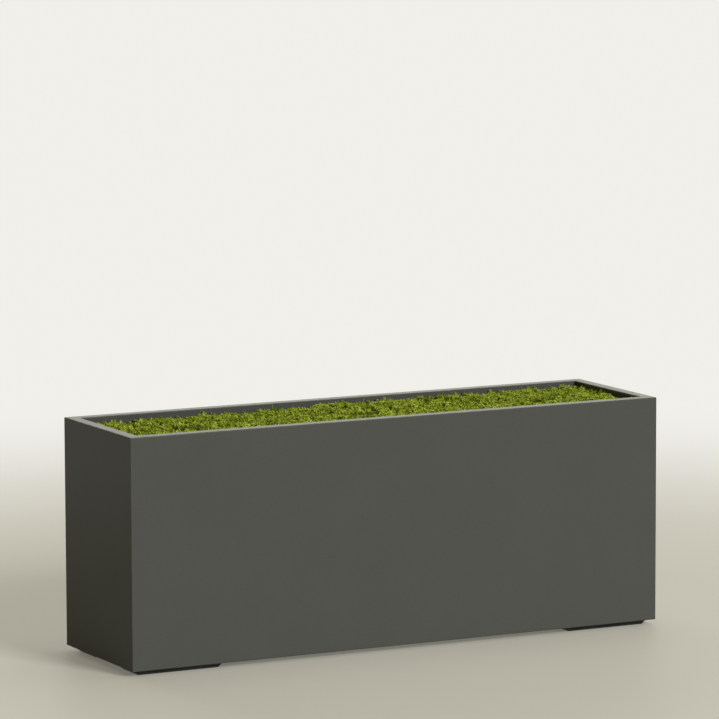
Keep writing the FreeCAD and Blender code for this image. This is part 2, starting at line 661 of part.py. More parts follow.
def build_all():
    """Build every sub-part of the planter."""
    build_wall("front_wall", "length", "depth / 2", 0)
    build_wall("rear_wall", "length", "depth / 2", 180)
    build_wall("right_wall", "depth", "length / 2", 90)
    build_wall("left_wall", "depth", "length / 2", 270)
    build_pan()
    build_rail("base_rail_front", "-")
    build_rail("base_rail_rear", "")
    corners = (("front_left", "-", "-", 0), ("front_right", "", "-", 90),
               ("rear_right", "", "", 180), ("rear_left", "-", "", 270))
    for corner, side_x, side_y, turn in corners:
        build_angle("corner_angle_" + corner, side_x, side_y, turn)
    for corner, side_x, side_y, turn in corners:
        build_foot("foot_" + corner, side_x, side_y, 0 if side_y else 180)
    build_screws()
    build_nuts()
    build_pan_plugs()
    build_liner()
    build_liner_frame()
    build_plug("liner_plug", "outlet_radius", LINER_UNDER, LINER_UNDER + " + liner_floor")
    for half, turn in (("front", 0), ("rear", 180)):
        build_board("cover_board_" + half, turn)
        build_batten("batten_" + half, turn)
        build_moss("moss_" + half, turn)


def write_all():
    """Check every object, then write one file per sub-part."""
    doc.recompute()
    for item in doc.Objects:
        if "Invalid" in item.State or "Error" in item.State:
            raise RuntimeError("%s is %s" % (item.Label, item.State))
    os.makedirs("parts", exist_ok=True)
    for body in nodes:
        shape = body.Shape
        if shape.isNull() or not shape.isValid():
            raise RuntimeError("%s has no valid shape" % body.Label)
        shape.exportStep("parts/%s.step" % body.Label)
        print("%s: %d solids, %.0f mm3" % (body.Label, len(shape.Solids), shape.Volume))


fill_sheet()
build_all()
write_all()
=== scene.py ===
"""Dresses a rectangular planter of folded, coated sheet with a lift-out liner and a moss cover.

Metres. +Z is up, +X runs along the planter and -Y is its front. Every piece is made in the frame of the
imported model, so its place is in its mesh and its object stays at the origin.
"""
from __future__ import annotations

import logging
import math
from dataclasses import dataclass, field
from enum import Enum

import bpy
import numpy as np
from mathutils import Matrix, Vector

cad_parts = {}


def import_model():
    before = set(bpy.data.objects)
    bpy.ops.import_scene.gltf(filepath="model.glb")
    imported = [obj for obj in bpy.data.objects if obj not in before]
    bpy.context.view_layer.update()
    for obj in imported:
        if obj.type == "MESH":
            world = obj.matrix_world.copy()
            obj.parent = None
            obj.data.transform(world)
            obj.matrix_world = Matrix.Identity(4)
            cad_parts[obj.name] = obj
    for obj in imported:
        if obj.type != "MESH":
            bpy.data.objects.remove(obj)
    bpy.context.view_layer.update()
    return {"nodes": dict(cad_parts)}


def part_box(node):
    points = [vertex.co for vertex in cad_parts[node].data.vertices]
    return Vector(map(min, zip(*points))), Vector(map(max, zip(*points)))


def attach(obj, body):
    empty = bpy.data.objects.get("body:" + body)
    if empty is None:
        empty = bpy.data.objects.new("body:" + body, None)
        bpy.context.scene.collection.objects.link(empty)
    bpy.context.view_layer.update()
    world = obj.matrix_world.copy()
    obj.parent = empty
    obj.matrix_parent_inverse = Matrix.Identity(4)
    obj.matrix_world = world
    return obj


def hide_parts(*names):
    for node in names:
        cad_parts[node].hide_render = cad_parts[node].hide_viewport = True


LOG = logging.getLogger("planter")
MM = 0.001

Colour = tuple[float, float, float]
Point = tuple[float, float, float]
Array = np.ndarray
Node = bpy.types.Node
Socket = bpy.types.NodeSocket
Tree = bpy.types.NodeTree


class Half(Enum):
    """The two halves of the moss cover, with the sign of Y on their side."""

    FRONT = -1
    REAR = 1

    @property
    def word(self) -> str:
        """Name the half as the nodes and bodies do."""
        return self.name.lower()


class Wiring:
    """Adds nodes to one shader tree and joins them.

    The Mix node keeps its two colours at the places of mix_inputs and gives the mixed one at mix_output.
    """

    mix_inputs: tuple[int, int] = (6, 7)
    mix_output: int = 2

    def __init__(self, tree: Tree) -> None:
        """Start on an empty tree.

        Args:
            tree: The tree of a material, a world or a node group.
        """
        self.tree = tree
        self.tree.nodes.clear()

    def feed(self, node: Node, inputs: dict[str | int, object]) -> Node:
        """Give inputs of a node plain values, or join them to output sockets.

        Args:
            node: The node that has the inputs.
            inputs: A value or an output socket for each input, by its name or number.

        Returns:
            The node.
        """
        for key, given in inputs.items():
            if isinstance(given, Socket):
                self.tree.links.new(given, node.inputs[key])
            else:
                node.inputs[key].default_value = given
        return node

    def fill(self, node: Node, **inputs: object) -> Node:
        """Feed inputs of a node, their names written with underscores."""
        return self.feed(node, {name.replace("_", " "): given for name, given in inputs.items()})

    def node(self, kind: str, *first: object, settings: dict[str, object] | None = None, **inputs: object) -> Node:
        """Add a node.

        Args:
            kind: The node's type name.
            *first: Values or output sockets for its first inputs, in their order.
            settings: Its settings, by their names.
            **inputs: Values or output sockets for other inputs, by their names with underscores.

        Returns:
            The node.
        """
        new = self.tree.nodes.new(kind)
        for name, value in (settings or {}).items():
            setattr(new, name, value)
        return self.fill(self.feed(new, dict(enumerate(first))), **inputs)

    def math(self, operation: str, first: object, second: object = 0.0, clamp: bool = False) -> Socket:
        """Work out one step of arithmetic. Clamped, its result stays between 0 and 1."""
        settings = {"operation": operation, "use_clamp": clamp}
        return self.node("ShaderNodeMath", first, second, settings=settings).outputs[0]

    def plus(self, first: object, second: object, clamp: bool = False) -> Socket:
        """Add two values."""
        return self.math("ADD", first, second, clamp)

    def less(self, first: object, second: object, clamp: bool = False) -> Socket:
        """Take the second value from the first."""
        return self.math("SUBTRACT", first, second, clamp)

    def times(self, first: object, second: object, clamp: bool = False) -> Socket:
        """Multiply two values."""
        return self.math("MULTIPLY", first, second, clamp)

    def weighed(self, share: float, first: Socket, second: Socket) -> Socket:
        """Add a share of the first value to the rest of the second."""
        return self.plus(self.times(first, share), self.times(second, 1.0 - share))

    def blend(self, share: object, first: object, second: object) -> Socket:
        """Mix two colours.

        Args:
            share: How much of the second colour shows, from 0 to 1.
            first: The first colour or socket.
            second: The second colour or socket.

        Returns:
            The mixed colour's socket.
        """
        mix = self.node("ShaderNodeMix", share, settings={"data_type": "RGBA"})
        colours = (given if isinstance(given, Socket) else (*given, 1.0) for given in (first, second))
        return self.feed(mix, dict(zip(self.mix_inputs, colours))).outputs[self.mix_output]

    def mixed(self, share: Socket, first: Socket, second: Socket) -> Socket:
        """Mix two shaders: the share says how much of the second shows."""
        return self.node("ShaderNodeMixShader", share, first, second).outputs["Shader"]

    def band(self, given: Socket, low: float, high: float, start: float = 0.0, end: float = 1.0) -> Socket:
        """Carry a value smoothly from start, where it is low, to end, where it is high, and hold it there."""
        settings = {"interpolation_type": "SMOOTHSTEP"}
        return self.node("ShaderNodeMapRange", given, low, high, start, end, settings=settings).outputs["Result"]

    def noise(self, place: Socket, grain: object, detail: float, rough: float) -> Socket:
        """Add a noise of so many lumps to a metre, with finer layers as many as detail and as strong as rough."""
        noise = self.node("ShaderNodeTexNoise", Vector=place, Scale=grain, Detail=detail, Roughness=rough)
        return noise.outputs["Fac"]


class SurfaceGroups:
    """The node groups that several finishes share, each built once."""

    def __init__(self) -> None:
        """Build the groups."""
        self.fine_grain = self._fine_grain()
        self.settled_dust = self._settled_dust()
        self.rubbed_edges = self._rubbed_edges()

    @staticmethod
    def _start(name: str, inputs: dict[str, float], outputs: tuple[str, ...]) -> tuple[Wiring, object, Node]:
        """Open a new group that takes coordinates and named numbers.

        Args:
            name: The group's name.
            inputs: Each number's name and usual value.
            outputs: The outputs' names.

        Returns:
            The group's wiring, the sockets of what it is given, and its output node.
        """
        tree = bpy.data.node_groups.new(name, "ShaderNodeTree")
        tree.interface.new_socket(name="Place", in_out="INPUT", socket_type="NodeSocketVector")
        for word, usual in inputs.items():
            socket = tree.interface.new_socket(name=word, in_out="INPUT", socket_type="NodeSocketFloat")
            socket.default_value = usual
        for word in outputs:
            tree.interface.new_socket(name=word, in_out="OUTPUT", socket_type="NodeSocketFloat")
        wiring = Wiring(tree)
        return wiring, wiring.node("NodeGroupInput").outputs, wiring.node("NodeGroupOutput")

    def _fine_grain(self) -> Tree:
        """Build the pebbly skin of a coat or a moulding: a fine height and a soft, wide mottling.

        Returns:
            The group, with the outputs Height and Mottle.
        """
        wiring, given, result = self._start("FineGrain", {"Grain": 1400.0, "Wave": 14.0}, ("Height", "Mottle"))
        fine = wiring.noise(given["Place"], given["Grain"], detail=2.0, rough=0.55)
        coarse = wiring.noise(given["Place"], wiring.times(given["Grain"], 0.28), detail=1.0, rough=0.5)
        mottle = wiring.noise(given["Place"], given["Wave"], detail=3.0, rough=0.6)
        wiring.fill(result, Height=wiring.weighed(0.6, fine, coarse),
                    Mottle=wiring.band(mottle, low=0.15, high=0.85))
        return wiring.tree

    def _settled_dust(self) -> Tree:
        """Build a mask on faces that look up, thinner in patches: dust, and on the coat also a painted sheen.

        Returns:
            The group, with the output Mask.
        """
        wiring, given, result = self._start("SettledDustAndSheen", {"Amount": 0.3, "Patch": 60.0}, ("Mask",))
        normal = wiring.node("ShaderNodeNewGeometry").outputs["Normal"]
        up = wiring.node("ShaderNodeSeparateXYZ", Vector=normal).outputs["Z"]
        facing = wiring.band(up, low=0.55, high=0.98)
        cloud = wiring.noise(given["Place"], given["Patch"], detail=4.0, rough=0.65)
        patch = wiring.band(cloud, low=0.2, high=0.85, start=0.35)
        speck = wiring.band(wiring.noise(given["Place"], 900.0, detail=1.0, rough=0.5), low=0.5, high=0.75)
        lying = wiring.times(facing, wiring.weighed(0.75, patch, speck))
        wiring.fill(result, Mask=wiring.times(lying, given["Amount"], clamp=True))
        return wiring.tree

    def _rubbed_edges(self) -> Tree:
        """Build a broken mask along the outer edges of a box on the floor, for wear and a painted highlight.

        A point is near an edge where two of its three distances to the box's faces are small, so the mask
        follows the least, over the three pairs of faces, of the larger distance of each pair. A noise says
        how far from the edge the lightening reaches, never less than least_reach.

        Returns:
            The group, with the output Mask.
        """
        deepest_reach, least_reach, unmarked = 5 * MM, 0.4 * MM, 0.25
        wiring, given, result = self._start("RubbedAndHighlitEdges", {"HalfX": 0.5, "HalfY": 0.135, "Top": 0.4}, ("Mask",))
        apart = wiring.node("ShaderNodeSeparateXYZ", Vector=given["Place"]).outputs
        off_x = wiring.less(given["HalfX"], wiring.math("ABSOLUTE", apart["X"]))
        off_y = wiring.less(given["HalfY"], wiring.math("ABSOLUTE", apart["Y"]))
        off_z = wiring.less(given["Top"], apart["Z"])
        pairs = [wiring.math("MAXIMUM", *pair) for pair in ((off_x, off_y), (off_x, off_z), (off_y, off_z))]
        nearest = wiring.math("MINIMUM", wiring.math("MINIMUM", pairs[0], pairs[1]), pairs[2])
        broken = wiring.noise(given["Place"], 55.0, detail=5.0, rough=0.7)
        reach = wiring.math("MAXIMUM", wiring.times(wiring.less(broken, unmarked), deepest_reach), least_reach)
        wiring.fill(result, Mask=wiring.less(1.0, wiring.math("DIVIDE", nearest, reach), clamp=True))
        return wiring.tree


@dataclass
class Bench:
    """One material in the making: its wiring, its Principled shader, its coordinates and the shared groups."""

    wiring: Wiring
    shader: Node
    place: Socket
    groups: SurfaceGroups

    def set(self, **inputs: object) -> None:
        """Feed inputs of the shader, their names written with underscores."""
        self.wiring.fill(self.shader, **inputs)

    def use(self, group: Tree, **values: float) -> object:
        """Place a group in the material with its own values, and give its outputs."""
        node = self.wiring.node("ShaderNodeGroup", settings={"node_tree": group})
        return self.wiring.fill(node, Place=self.place, **values).outputs

    def raise_grain(self, height: Socket, strength: float, depth: float) -> None:
        """Let a height show as bump."""
        bump = self.wiring.node("ShaderNodeBump", Height=height, Strength=strength, Distance=depth)
        self.set(Normal=bump.outputs["Normal"])


@dataclass(frozen=True)
class Finish:
    """What every finish has: a name, a main colour, how rough it is and how strongly it mirrors."""

    name: str
    colour: Colour
    roughness: float
    mirror: float = 0.5

    def wire(self, bench: Bench) -> None:
        """Set the plain values on the shader."""
        bench.set(Base_Color=(*self.colour, 1.0), Roughness=self.roughness, Specular_IOR_Level=self.mirror)

    def scaled(self, share: float) -> Colour:
        """Give the main colour, darker or lighter by a share."""
        return tuple(share * part for part in self.colour)

    def gloss(self, bench: Bench, share: Socket, smoother: float, rougher: float) -> Socket:
        """Let the roughness run from a little smoother to a little rougher with a share."""
        return bench.wiring.band(share, 0.0, 1.0, self.roughness - smoother, self.roughness + rougher)


@dataclass
class Palette:
    """Builds each finish once and hands out its material."""

    groups: SurfaceGroups = field(default_factory=SurfaceGroups)
    ready: dict[str, bpy.types.Material] = field(default_factory=dict)

    def get(self, finish: Finish) -> bpy.types.Material:
        """Find or make the material of a finish.

        Args:
            finish: The finish to look up.

        Returns:
            Its material.
        """
        if finish.name not in self.ready:
            material = bpy.data.materials.new(finish.name)
            material.use_nodes = True
            wiring = Wiring(material.node_tree)
            output = wiring.node("ShaderNodeOutputMaterial")
            shader = wiring.node("ShaderNodeBsdfPrincipled")
            wiring.fill(output, Surface=shader.outputs["BSDF"])
            place = wiring.node("ShaderNodeTexCoord").outputs["Object"]
            finish.wire(Bench(wiring, shader, place, self.groups))
            self.ready[finish.name] = material
        return self.ready[finish.name]


@dataclass(frozen=True)
class PowderCoat(Finish):
    """A satin powder coat with a fine sanded skin, edges lightened by wear and a painted highlight, and
    dust with a painted sheen on what looks up.

    The edges are those of a box of half_sizes: half its length, half its depth and its height.
    """

    grain: float = 1500.0
    grain_depth: float = 0.05 * MM
    grain_strength: float = 0.22
    wave: float = 7.0
    mottle: float = 0.03
    speckled: float = 0.22
    speck_light: float = 1.35
    # How much the edges lighten, as wear and as a painted highlight.
    rubbed_and_highlit: float = 0.35
    rubbed_and_highlit_light: float = 2.1
    # Dust and a painted sheen on faces that look up: its amount, pale colour and added roughness.
    dust_and_sheen: float = 0.64
    dust_and_sheen_colour: Colour = (0.50, 0.495, 0.39)
    dust_and_sheen_roughness: float = 0.05
    half_sizes: tuple[float, float, float] = (0.5, 0.135, 0.4)

    def wire(self, bench: Bench) -> None:
        """Vary the coat's colour and gloss a little, lighten its edges as wear and painted highlight, lighten
        what looks up with dust and a painted sheen, and give it its grain as bump.

        Args:
            bench: The material in the making.
        """
        super().wire(bench)
        wiring, groups = bench.wiring, bench.groups
        skin = bench.use(groups.fine_grain, Grain=self.grain, Wave=self.wave)
        # Painted sheen, partly dust: this mask lightens the faces that look up, the rim most of all.
        dust_and_sheen = bench.use(groups.settled_dust, Amount=self.dust_and_sheen)["Mask"]
        half_x, half_y, top = self.half_sizes
        edge = bench.use(groups.rubbed_edges, HalfX=half_x, HalfY=half_y, Top=top)["Mask"]
        coat = wiring.blend(skin["Mottle"], self.scaled(1.0 - self.mottle), self.scaled(1.0 + self.mottle))
        speck = wiring.band(skin["Height"], low=0.42, high=0.62, end=self.speckled)
        coat = wiring.blend(speck, coat, self.scaled(self.speck_light))
        # Painted highlight, partly wear: the edges turn lighter along the mask.
        coat = wiring.blend(wiring.times(edge, self.rubbed_and_highlit), coat, self.scaled(self.rubbed_and_highlit_light))
        gloss = self.gloss(bench, skin["Mottle"], smoother=0.03, rougher=0.03)
        bench.set(Base_Color=wiring.blend(dust_and_sheen, coat, self.dust_and_sheen_colour),
                  Roughness=wiring.plus(gloss, wiring.times(dust_and_sheen, self.dust_and_sheen_roughness)))
        bench.raise_grain(skin["Height"], self.grain_strength, self.grain_depth)


@dataclass(frozen=True)
class SpangledZinc(Finish):
    """Hot-dipped zinc sheet: crystals of differing grey and gloss."""

    crystal: float = 95.0
    streak: float = 700.0
    darkest: float = 0.72
    metal: float = 0.9

    def wire(self, bench: Bench) -> None:
        """Break the sheet into crystals and streak each one faintly.

        Args:
            bench: The material in the making.
        """
        super().wire(bench)
        wiring = bench.wiring
        cells = wiring.node("ShaderNodeTexVoronoi", Vector=bench.place, Scale=self.crystal, Randomness=1.0)
        tone = wiring.node("ShaderNodeSeparateXYZ", Vector=cells.outputs["Color"]).outputs
        streak = wiring.noise(bench.place, self.streak, detail=2.0, rough=0.6)
        grey = wiring.blend(wiring.weighed(0.75, tone["X"], streak), self.scaled(self.darkest), self.colour)
        gloss = self.gloss(bench, tone["Y"], smoother=0.1, rougher=0.12)
        bench.set(Base_Color=grey, Roughness=gloss, Metallic=self.metal)
        bench.raise_grain(streak, strength=0.2, depth=0.03 * MM)


@dataclass(frozen=True)
class TurnedSteel(Finish):
    """Stainless steel of the screws and nuts, with fine rings left by the tool."""

    rings: float = 900.0
    darkest: float = 0.85

    def wire(self, bench: Bench) -> None:
        """Vary the steel's gloss in fine rings one above the other.

        Args:
            bench: The material in the making.
        """
        super().wire(bench)
        rings = bench.wiring.node("ShaderNodeTexWave", settings={"bands_direction": "Z"}, Vector=bench.place,
                                  Scale=self.rings, Distortion=0.6).outputs["Fac"]
        grey = bench.wiring.blend(rings, self.scaled(self.darkest), self.colour)
        gloss = self.gloss(bench, rings, smoother=0.05, rougher=0.08)
        bench.set(Base_Color=grey, Roughness=gloss, Metallic=1.0)
        bench.raise_grain(rings, strength=0.15, depth=0.02 * MM)


@dataclass(frozen=True)
class MouldedSkin(Finish):
    """A moulded plastic or rubber with a leathery skin, scuffed a little lighter in places."""

    grain: float = 900.0
    grain_depth: float = 0.08 * MM
    grain_strength: float = 0.5
    wave: float = 22.0
    darkest: float = 0.88
    # On mouldings the up-facing mask is dust only.
    dust_and_sheen: float = 0.2
    scuff: Colour = (0.2, 0.2, 0.19)
    scuffed: float = 0.12
    scuff_drawn: float = 9.0

    def wire(self, bench: Bench) -> None:
        """Give the skin its grain, its scuffs and some dust.

        Args:
            bench: The material in the making.
        """
        super().wire(bench)
        wiring, groups = bench.wiring, bench.groups
        skin = bench.use(groups.fine_grain, Grain=self.grain, Wave=self.wave)
        dust_and_sheen = bench.use(groups.settled_dust, Amount=self.dust_and_sheen)["Mask"]
        drawn = wiring.node("ShaderNodeMapping", Vector=bench.place, Scale=(1.0, 1.0, self.scuff_drawn))
        scratch = wiring.noise(drawn.outputs["Vector"], 45.0, detail=5.0, rough=0.7)
        worn = wiring.times(wiring.band(scratch, low=0.56, high=0.74), self.scuffed)
        base = wiring.blend(skin["Mottle"], self.scaled(self.darkest), self.colour)
        bench.set(Base_Color=wiring.blend(wiring.plus(worn, dust_and_sheen, clamp=True), base, self.scuff),
                  Roughness=self.gloss(bench, skin["Mottle"], smoother=0.06, rougher=0.06))
        bench.raise_grain(skin["Height"], self.grain_strength, self.grain_depth)


@dataclass(frozen=True)
class MossLeaf(Finish):
    """Preserved moss: dark at the root, partly its own colour and partly painted shade, bright at the tip,
    each sprig and clump with a tint of its own.

    The colour follows three numbers kept on the mesh: leaf_tip runs from root to tip, sprig_tint is one
    number for each sprig, and clump_rise is how high its lump of moss stands there. Low in a lump and
    between lumps the colour turns to the root colour as painted shade.
    """

    # The root colour is also the painted shade low in the lumps and between them.
    root: Colour = (0.016, 0.026, 0.003)
    tip: Colour = (0.58, 0.68, 0.09)
    dry: Colour = (0.40, 0.34, 0.08)
    dried: float = 0.7
    patch: float = 26.0
    fibre: float = 2200.0

    def wire(self, bench: Bench) -> None:
        """Mix the root, body and tip colours by the numbers kept on the mesh.

        Args:
            bench: The material in the making.
        """
        super().wire(bench)
        wiring = bench.wiring
        tip, tint, rise = (wiring.node("ShaderNodeAttribute", settings={"attribute_name": name}).outputs["Fac"]
                           for name in ("leaf_tip", "sprig_tint", "clump_rise"))
        # Darker towards each leaf's root: partly the moss's own colour, partly painted shade deep among the
        # leaves.
        leaf = wiring.blend(wiring.band(tip, low=0.0, high=0.55), self.root, self.colour)
        bright = wiring.times(wiring.band(tip, low=0.25, high=0.9), wiring.band(tint, low=0.2, high=0.7))
        leaf = wiring.blend(bright, leaf, self.tip)
        leaf = wiring.blend(wiring.times(wiring.band(tint, low=0.93, high=0.99), self.dried), leaf, self.dry)
        cloud = wiring.noise(bench.place, self.patch, detail=2.0, rough=0.55)
        leaf = wiring.blend(wiring.band(cloud, low=0.4, high=0.7, end=0.45), leaf, self.scaled(0.6))
        leaf = wiring.blend(wiring.band(tint, low=0.05, high=0.45, start=0.55, end=0.0), leaf, self.scaled(0.4))
        # Painted shade: the moss darkens to the root colour where its lump stands low and in the gaps.
        leaf = wiring.blend(wiring.band(rise, low=0.15, high=0.8, start=0.92, end=0.0), leaf, self.root)
        bench.set(Base_Color=leaf, Roughness=self.gloss(bench, tint, smoother=0.1, rougher=0.1))
        fibre = wiring.noise(bench.place, self.fibre, detail=1.0, rough=0.5)
        bench.raise_grain(fibre, strength=0.4, depth=0.1 * MM)


BODY_COAT = PowderCoat("body_coat_satin", (0.0690, 0.0715, 0.0640), roughness=0.14, mirror=0.04)
ZINC = SpangledZinc("zinc_sheet_spangled", (0.55, 0.56, 0.57), roughness=0.42)
STEEL = TurnedSteel("screw_steel_turned", (0.62, 0.61, 0.59), roughness=0.3)
FOOT_RUBBER = MouldedSkin("foot_rubber_black", (0.012, 0.012, 0.010), roughness=0.65, mirror=0.3)
PLUG_RUBBER = MouldedSkin("plug_rubber_black", (0.02, 0.02, 0.02), roughness=0.55, mirror=0.4)
LINER_PLASTIC = MouldedSkin("liner_plastic_black", (0.024, 0.025, 0.023), roughness=0.5, mirror=0.4,
                            grain=700.0, grain_depth=0.1 * MM)
BOARD_PLASTIC = MouldedSkin("board_foam_brown", (0.06, 0.045, 0.03), roughness=0.7, mirror=0.3,
                            grain=420.0, grain_depth=0.15 * MM, scuff=(0.25, 0.2, 0.15), scuffed=0.2)
MOSS = MossLeaf("moss_preserved", (0.27, 0.345, 0.02), roughness=0.75, mirror=0.05)

CORNERS = ("front_left", "front_right", "rear_right", "rear_left")


@dataclass
class SubAssembly:
    """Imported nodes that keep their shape, and the finish that each of them takes."""

    palette: Palette

    def finishes(self) -> dict[str, Finish]:
        """List the sub-assembly's nodes with their finishes."""
        return {}

    def dress(self, nodes: dict[str, bpy.types.Object]) -> None:
        """Give each node its finish in every material slot.

        Args:
            nodes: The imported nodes' objects by name.
        """
        for name, finish in self.finishes().items():
            for entry in nodes[name].material_slots:
                entry.material = self.palette.get(finish)
            LOG.info("%s: %s", name, finish.name)


@dataclass
class FoldedBody(SubAssembly):
    """The coated walls, and the zinc angles, pan and rails inside them."""

    sides: tuple[str, ...] = ("front", "rear", "left", "right")

    def finishes(self) -> dict[str, Finish]:
        """List the body's nodes with their finishes."""
        zinc = ["base_pan", "base_rail_front", "base_rail_rear", *("corner_angle_" + corner for corner in CORNERS)]
        return {**{side + "_wall": BODY_COAT for side in self.sides}, **dict.fromkeys(zinc, ZINC),
                "pan_plugs": PLUG_RUBBER}


@dataclass
class Footing(SubAssembly):
    """The four rubber pads with their screws and nuts."""

    def finishes(self) -> dict[str, Finish]:
        """List the footing's nodes with their finishes."""
        pads = {"foot_" + corner: FOOT_RUBBER for corner in CORNERS}
        return {**pads, "foot_screws": STEEL, "foot_nuts": STEEL}


@dataclass
class LiftOutLiner(SubAssembly):
    """The moulded trough, the frame round its mouth and its plug."""

    def finishes(self) -> dict[str, Finish]:
        """List the liner's nodes with their finishes."""
        return {"liner": LINER_PLASTIC, "liner_frame": LINER_PLASTIC, "liner_plug": PLUG_RUBBER}


@dataclass
class CoverBoards(SubAssembly):
    """The boards and battens that carry the moss."""

    def finishes(self) -> dict[str, Finish]:
        """List the boards' nodes with their finishes."""
        return {part + half.word: BOARD_PLASTIC for part in ("cover_board_", "batten_") for half in Half}


def smooth_step(share: Array) -> Array:
    """Ease a share from 0 to 1: three times its square less twice its cube."""
    share = np.clip(share, 0.0, 1.0)
    return share * share * (3.0 - 2.0 * share)


def unit(vectors: Array) -> Array:
    """Scale each vector to the length of one."""
    return vectors / np.linalg.norm(vectors, axis=-1, keepdims=True)


@dataclass
class MossGround:
    """The rolling surface that the sprigs grow from, the same function for both halves.

    Its height is a wide swell plus cushions plus tufts, and its left half sags a little. The swell is
    value noise: random heights on a square lattice, eased between neighbours. A cushion or a tuft is a
    dome about each point of a jittered lattice, the root of one less the square of the distance to the
    nearest point over the dome's radius. Radii are in lattice squares, and the sag is a slope. In a lump,
    the cushion has the shares wide_rise and wide_tint, and the tuft has the rest.
    """

    level: float
    sag: float = 0.006
    swell: float = 3.0 * MM
    swell_size: float = 58 * MM
    cushion: float = 5.5 * MM
    cushion_size: float = 26 * MM
    cushion_least: float = 0.62
    tuft: float = 7.0 * MM
    tuft_size: float = 11.0 * MM
    tuft_least: float = 0.4
    radius_spread: float = 0.33
    jitter: float = 0.8
    wide_rise: float = 0.3
    wide_tint: float = 0.35
    period: int = 97
    seed: int = 11

    def __post_init__(self) -> None:
        """Draw four random numbers for each lattice point: its place, its dome's radius and its tint."""
        self.table = np.random.default_rng(self.seed).random((self.period, self.period, 4))

    def _lattice(self, column: Array, row: Array, layer: int) -> Array:
        """Look up one random number of a lattice point."""
        return self.table[column % self.period, row % self.period, layer]

    def rolling(self, x: Array, y: Array) -> Array:
        """Work out the swell as value noise between -1 and 1.

        Args:
            x: Places along the planter.
            y: Places across the planter.

        Returns:
            The noise at each place.
        """
        across, along = x / self.swell_size, y / self.swell_size
        column, row = np.floor(across).astype(int), np.floor(along).astype(int)
        right, up = smooth_step(across - column), smooth_step(along - row)
        low, high = ((1 - right) * self._lattice(column, line, 0) + right * self._lattice(column + 1, line, 0)
                     for line in (row, row + 1))
        return 2.0 * ((1 - up) * low + up * high) - 1.0

    def domes(self, x: Array, y: Array, size: float, least: float) -> tuple[Array, Array]:
        """Work out the domes of one lattice at some places.

        Args:
            x: Places along the planter.
            y: Places across the planter.
            size: The side of a lattice square.
            least: The least radius of a dome.

        Returns:
            How high the dome stands, from 0 to 1, and the tint of the dome there.
        """
        across, along = x / size, y / size
        column, row = np.floor(across).astype(int), np.floor(along).astype(int)
        nearest, tint = np.full(x.shape, np.inf), np.zeros(x.shape)
        for here_x, here_y in ((column + i, row + j) for i in (-1, 0, 1) for j in (-1, 0, 1)):
            point_x = here_x + 0.5 + self.jitter * (self._lattice(here_x, here_y, 0) - 0.5)
            point_y = here_y + 0.5 + self.jitter * (self._lattice(here_x, here_y, 1) - 0.5)
            radius = least + self.radius_spread * self._lattice(here_x, here_y, 2)
            distance = np.hypot(across - point_x, along - point_y) / radius
            tint = np.where(distance < nearest, self._lattice(here_x, here_y, 3), tint)
            nearest = np.minimum(distance, nearest)
        return np.sqrt(np.clip(1.0 - nearest ** 2, 0.0, 1.0)), tint

    def layers(self, x: Array, y: Array) -> tuple[Array, ...]:
        """Work out the rise and the tint of the cushions, then of the tufts."""
        return (*self.domes(x, y, self.cushion_size, self.cushion_least),
                *self.domes(x, y, self.tuft_size, self.tuft_least))

    def lumps(self, x: Array, y: Array) -> tuple[Array, Array]:
        """Work out how high a place stands in its cushion and its tuft, from 0 to 1, and their tint."""
        cushion, wide, tuft, tint = self.layers(x, y)
        return (tuft * (1.0 - self.wide_rise + self.wide_rise * cushion),
                self.wide_tint * wide + (1.0 - self.wide_tint) * tint)

    def height(self, x: Array, y: Array) -> Array:
        """Work out the height of the surface at some places.

        Args:
            x: Places along the planter.
            y: Places across the planter.

        Returns:
            The height at each place.
        """
        cushion, tint, tuft, _ = self.layers(x, y)
        wide = self.sag * np.minimum(x, 0.0) + self.swell * self.rolling(x, y)
        lump = self.cushion * (cushion * (0.7 + 0.6 * tint) - 0.5)
        return self.level + wide + lump + self.tuft * (tuft - 0.5)

    def normals(self, x: Array, y: Array) -> Array:
        """Work out unit normals at some places from the heights one millimetre away."""
        falls = [(self.height(x - along, y - across) - self.height(x + along, y + across)) / (2 * MM)
                 for along, across in ((MM, 0.0), (0.0, MM))]
        return unit(np.stack([*falls, np.ones_like(x)], axis=-1))


@dataclass(frozen=True)
class Sprig:
    """One form of sprig, a unit high: its points, its triangles and how near each point is to a tip."""

    points: Array
    faces: Array
    tips: Array

    @staticmethod
    def joined(leaves: list[Sprig]) -> Sprig:
        """Join leaves into one sprig."""
        starts = np.cumsum([0] + [len(leaf.points) for leaf in leaves[:-1]])
        return Sprig(np.concatenate([leaf.points for leaf in leaves]),
                     np.concatenate([leaf.faces + start for leaf, start in zip(leaves, starts)]),
                     np.concatenate([leaf.tips for leaf in leaves]))


